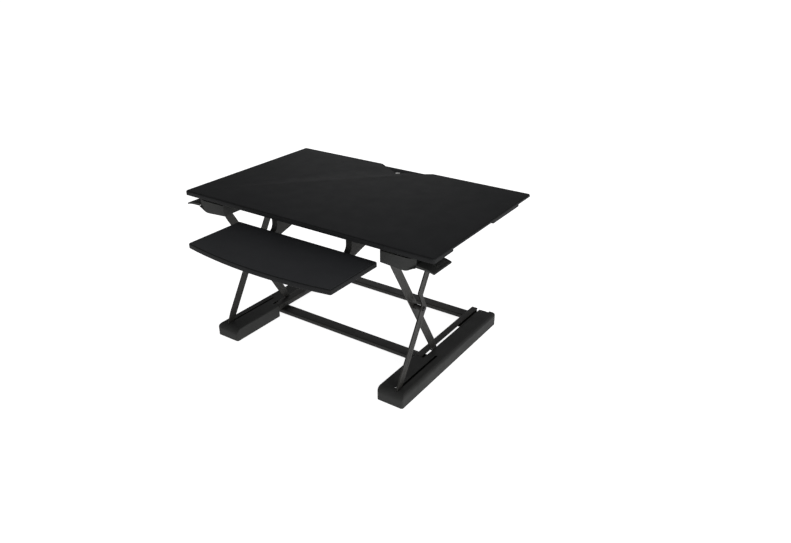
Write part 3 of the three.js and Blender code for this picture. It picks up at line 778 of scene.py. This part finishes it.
def make_arm_a():
    low, high = box_mm("arm_a_right")
    inner_low, inner_high = high.x - ARM_THICK, low.x
    step = outline([
        (inner_low, -20), (high.x, -20), (high.x, JOGGLE_START, 8), (inner_high + ARM_THICK, JOGGLE_END, 8),
        (inner_high + ARM_THICK, ARM_LENGTH + 20), (inner_high, ARM_LENGTH + 20), (inner_high, JOGGLE_END, 8),
        (inner_low, JOGGLE_START, 8),
    ], 8)
    plate = prism(step, "z", -ARM_WIDTH, ARM_WIDTH)
    carve(plate, prism(arm_plan(), "x", inner_high - 10, high.x + 20), how="INTERSECT")
    carve(plate, *bores(inner_high - 20, high.x + 20))
    carve(plate, swage(high.x, 1, 52, 222), swage(inner_high + ARM_THICK, 1, 306, ARM_LENGTH - 52))
    soften(plate, 0.7)
    install_pair(tilted(plate, FOOT_PIVOT, ARM_ANGLE), "arm_a_bar", "arm_a")


def make_arm_b():
    low, high = box_mm("arm_b_right")
    plate = prism(arm_plan(), "x", low.x, high.x)
    carve(plate, *bores(low.x - 10, high.x + 10))
    spans = ((118, 222), (282, ARM_LENGTH - 52))
    carve(plate, *(swage(face, out, *span) for face, out in ((high.x, 1), (low.x, -1)) for span in spans))
    soften(plate, 0.7)
    install_pair(tilted(plate, TOP_PIVOT, -ARM_ANGLE), "arm_b_bar", "arm_b")


def make_centre_bolts():
    arm_b_low = box_mm("arm_b_right")[0].x
    arm_a_high = box_mm("arm_a_right")[1].x
    shank = turned([(5.0, arm_b_low - 0.5), (5.0, arm_a_high + 0.5)], "x", CROSSING.yz)
    head, nut = hex_head(13, 4.4, 8.6), hex_head(13, 4.4, 8.6)
    places = ((head, arm_a_high + 0.1, 1), (nut, arm_b_low - 0.1, -1))
    for piece, seat, out in places:
        turn = Matrix.Rotation(out * math.pi / 2, 4, "Y")
        piece.data.transform(Matrix.Translation(Vector((seat, CROSSING.y, CROSSING.z)) * MM) @ turn)
    bolt = soften(gather(shank, head, nut), 0.25, 2)
    install_pair(bolt, "centre_bolt_hex", "centre_bolt", "dark_screw", True)


def make_rollers():
    for name in ("lower_roller", "upper_roller"):
        low, high = box_mm(f"{name}_right")
        radius, bore = (high.z - low.z) / 2, 4.3
        centre = joint_mm(f"{name}_right").yz
        half = [(bore, 0), (bore + 1.2, 0.05), (radius - 2.2, 0.9), (radius - 0.6, 0.4), (radius, 1.2),
                (radius, 7.6), (radius - 0.5, 8.1)]
        profile = [(r, low.x + x) for r, x in half] + [(r, high.x - x) for r, x in reversed(half)]
        wheel = soften(turned(profile, "x", centre, 48, closed=True), 0.15, 2)
        install_pair(wheel, f"{name}_wheel", name)


# ---------------------------------------------------------------- upper frame
def make_upper_tracks():
    low, high = box_mm("upper_track_right")
    wall, flange = 2.3, high.z - (joint_mm("top_pivot").z + 8.35)
    section = outline([
        (high.x, low.z, 2.2), (high.x, high.z, 0.6), (low.x, high.z, 0.6), (low.x, high.z - flange, 0.5),
        (high.x - wall, high.z - flange, 0.8), (high.x - wall, low.z + wall, 0.8), (low.x, low.z + wall, 0.5),
        (low.x, low.z, 0.5),
    ], 4)
    install_pair(soften(prism(section, "y", low.y, high.y), 0.25, 2), "upper_rail", "upper_track")
    heads = [((high.x - 0.1, low.y + 46 + 110 * k, 470), (1, 0, 0)) for k in range(5)]
    install_pair(screws(heads, 3.2), "upper_rail_screws", "upper_track", "dark_screw", False)


# ---------------------------------------------------------------- handles
UNDERSIDE = ((290, 441), (330, 438.3), (362, 436.4), (376, 439), (389, 446), (403, 451.2), (430, 451),
             (457, 446.4))


def make_housings():
    low, high = box_mm("handle_housing_right")
    wall, wing, setback = 2.5, 377, 9
    under = [p for p in smooth_line(UNDERSIDE) if p.x < high.x - 1]
    profile = [*under, Vector((high.x, 449.8)), Vector((high.x, high.z)), Vector((low.x, high.z))]
    shell = slab(profile, "y", low.y, high.y, 1.8, 1.0, 4)

    def above(x0, x1, rise, y0, y1):
        """A space above the lower line, between two uprights."""
        line = [Vector((p.x, p.y + rise)) for p in smooth_line(UNDERSIDE) if x0 < p.x < x1]
        first, last = line[0], line[-1]
        return prism([Vector((x0, first.y)), *line, Vector((x1, last.y)), Vector((x1, high.z + 5)),
                      Vector((x0, high.z + 5))], "y", y0, y1)

    rear = high.y - wall
    hollow = above(low.x + wall, wing - 3, wall, low.y + wall, rear)
    wing_hollow = above(wing - 4, high.x + 3, wall, low.y + setback + wall, rear)
    slope = prism([Vector((wing, low.y)), Vector((wing, low.y - 5)), Vector((high.x + 3, low.y - 5)),
                   Vector((high.x + 3, low.y + setback))], "z", high.z - 60, high.z + 5)
    recess = carve(above(wing, high.x + 3, 3.0, low.y - 5, low.y + setback), slope, how="INTERSECT")
    shadow_gap = block(low.x + 1.5, high.x + 5, low.y - 1, low.y + 6, high.z - 3.2, high.z + 1)
    arm_slot = block(303.5, 315.5, low.y + wall, high.y + 5, 430, high.z + 5)
    track_low, track_high = box_mm("upper_track_right")
    track_door = block(312, track_high.x + 1, high.y - 5, high.y + 5, track_low.z - 1, high.z + 5)
    carve(shell, hollow, wing_hollow, recess, arm_slot, track_door, shadow_gap)
    soften(shell, 0.45)
    install_pair(shell, "handle_housing_shell", "handle_housing")
    seats = [((x, low.y + 9, z), (0, 0, -1)) for x, z in ((297, 440.7), (352, 437.0))]
    install_pair(screws(seats, 3.0), "housing_screws", "handle_housing", "dark_screw", False)


def make_levers():
    low, high = box_mm("release_lever_right")
    housing_rear = box_mm("handle_housing_right")[1].y
    pivot = joint_mm("lever_right")
    root, tip = 401.5, high.x
    under = [Vector((root, 452.8)), Vector((404, 451.8)),
             *smooth_line([(412, 451.6), (430, 451), (445, 449.2), (tip - 1.5, 446.5)], 5)]
    over = [Vector((tip, 449)),
            *smooth_line([(tip - 2, 451.6), (444, 454.8), (430, 457.6), (root, 460.4)], 5)]
    blade = slab([*under, *over], "y", low.y, high.y, 1.0, 1.2, 4)
    trim = prism(outline([(pivot.x - 6, low.y - 1), (tip + 0.3, low.y - 1, 3), (tip + 0.3, high.y + 0.3, 5),
                          (436, high.y + 1, 6), (pivot.x - 6, high.y + 1)], 8), "z", 430, 480)
    carve(blade, trim, how="INTERSECT")
    grip = [prism(outline([(411, 440), (tip - 9, 440), (tip - 9, 450.4), (411, 454)], 3), "y", y, y + 2.2)
            for y in (low.y + 18 + 7.5 * k for k in range(8))]
    pads = [prism(rectangle(tip - 24, tip - 5, y, y + 3.2, 1.2), "z", 440 + 12.4, 470)
            for y in (low.y + 30 + 6.4 * k for k in range(8))]
    neck = block(pivot.x, root + 3, low.y + 12, housing_rear - 8, 454.8, 459.6)
    hub = prism(circle(pivot.x, pivot.z, 4.6, 32), "y", low.y + 12, housing_rear - 8)
    weld(blade, neck, hub)
    carve(blade, prism(circle(pivot.x, pivot.z, 2.4, 24), "y", low.y, housing_rear), *grip, *pads)
    soften(blade, 0.3, 2)
    install_pair(blade, "lever_paddle", "release_lever")
    pin_low, pin_high = box_mm("lever_pin_right")
    pin = [(1.7, pin_low.y + 8), (2.1, pin_low.y + 8.4), (2.1, pin_high.y - 0.4), (1.7, pin_high.y)]
    install_pair(soften(turned(pin, "y", (pivot.x, pivot.z), 28), 0.1, 2), "lever_axle", "lever_pin")


# ---------------------------------------------------------------- gas springs
def make_gas_springs():
    tube_low, tube_high = box_mm("gas_cylinder_right")
    rod_low, rod_high = box_mm("gas_rod_right")
    x, z = (tube_low.x + tube_high.x) / 2, (tube_low.z + tube_high.z) / 2
    eye, rod_eye, tube, rod = 7, 6, 8, 4
    anchor, stud = tube_high.y - eye, rod_low.y + rod_eye

    def along_y(profile):
        return skin([lift(circle(x, z, radius, 36), "y", at) for radius, at in profile])

    def eyelet(at, radius, bore):
        ring = [(bore, x - 4), (radius - 0.4, x - 4), (radius, x - 3.6), (radius, x + 3.6),
                (radius - 0.4, x + 4), (bore, x + 4)]
        return turned(ring, "x", (at, z), 36, closed=True)

    mouth, back = tube_low.y, anchor - 16
    body = along_y([(rod + 1.2, mouth), (tube - 1.6, mouth + 0.4), (tube, mouth + 2.6), (tube, mouth + 5),
                    (tube - 0.7, mouth + 5.8), (tube - 0.7, mouth + 7), (tube, mouth + 7.8), (tube, back - 4),
                    (tube - 0.5, back - 2.6), (5, back), (5, anchor - 6.8), (4, anchor - 5.4)])
    carve(body, along_y([(rod + 0.3, mouth - 5), (rod + 0.3, mouth + 77)]))
    gather_into(body, eyelet(anchor, eye, 4.4))
    install_pair(soften(body, 0.2, 2), "gas_tube", "gas_cylinder")
    shaft = along_y([(3.2, stud + 4.6), (rod + 1.4, stud + 5.6), (rod + 1.4, stud + 12), (rod, stud + 12.6),
                     (rod, rod_high.y - 0.6), (rod - 0.6, rod_high.y)])
    gather_into(shaft, eyelet(stud, rod_eye, 1.5))
    install_pair(soften(shaft, 0.15, 2), "gas_piston_rod", "gas_rod")


# ---------------------------------------------------------------- the scene
add_camera()
add_studio()
add_floor()
make_desktop()
make_tray()
make_hangers()
make_foot_covers()
make_lower_tracks()
make_crossbars()
make_pads()
make_arm_a()
make_arm_b()
make_centre_bolts()
make_rollers()
make_upper_tracks()
make_housings()
make_levers()
make_gas_springs()
for kept in ("foot_beam", "foot_pivot_pin", "centre_spacer", "upper_axle", "lower_axle", "top_clevis",
             "top_pivot_pin", "gas_anchor", "gas_crank"):
    keep_cad(f"{kept}_right")
    keep_cad(f"{kept}_left")
for kept in ("top_crossbar_front", "top_crossbar_rear"):
    keep_cad(kept)

bpy.context.scene.view_settings.view_transform = "Standard"
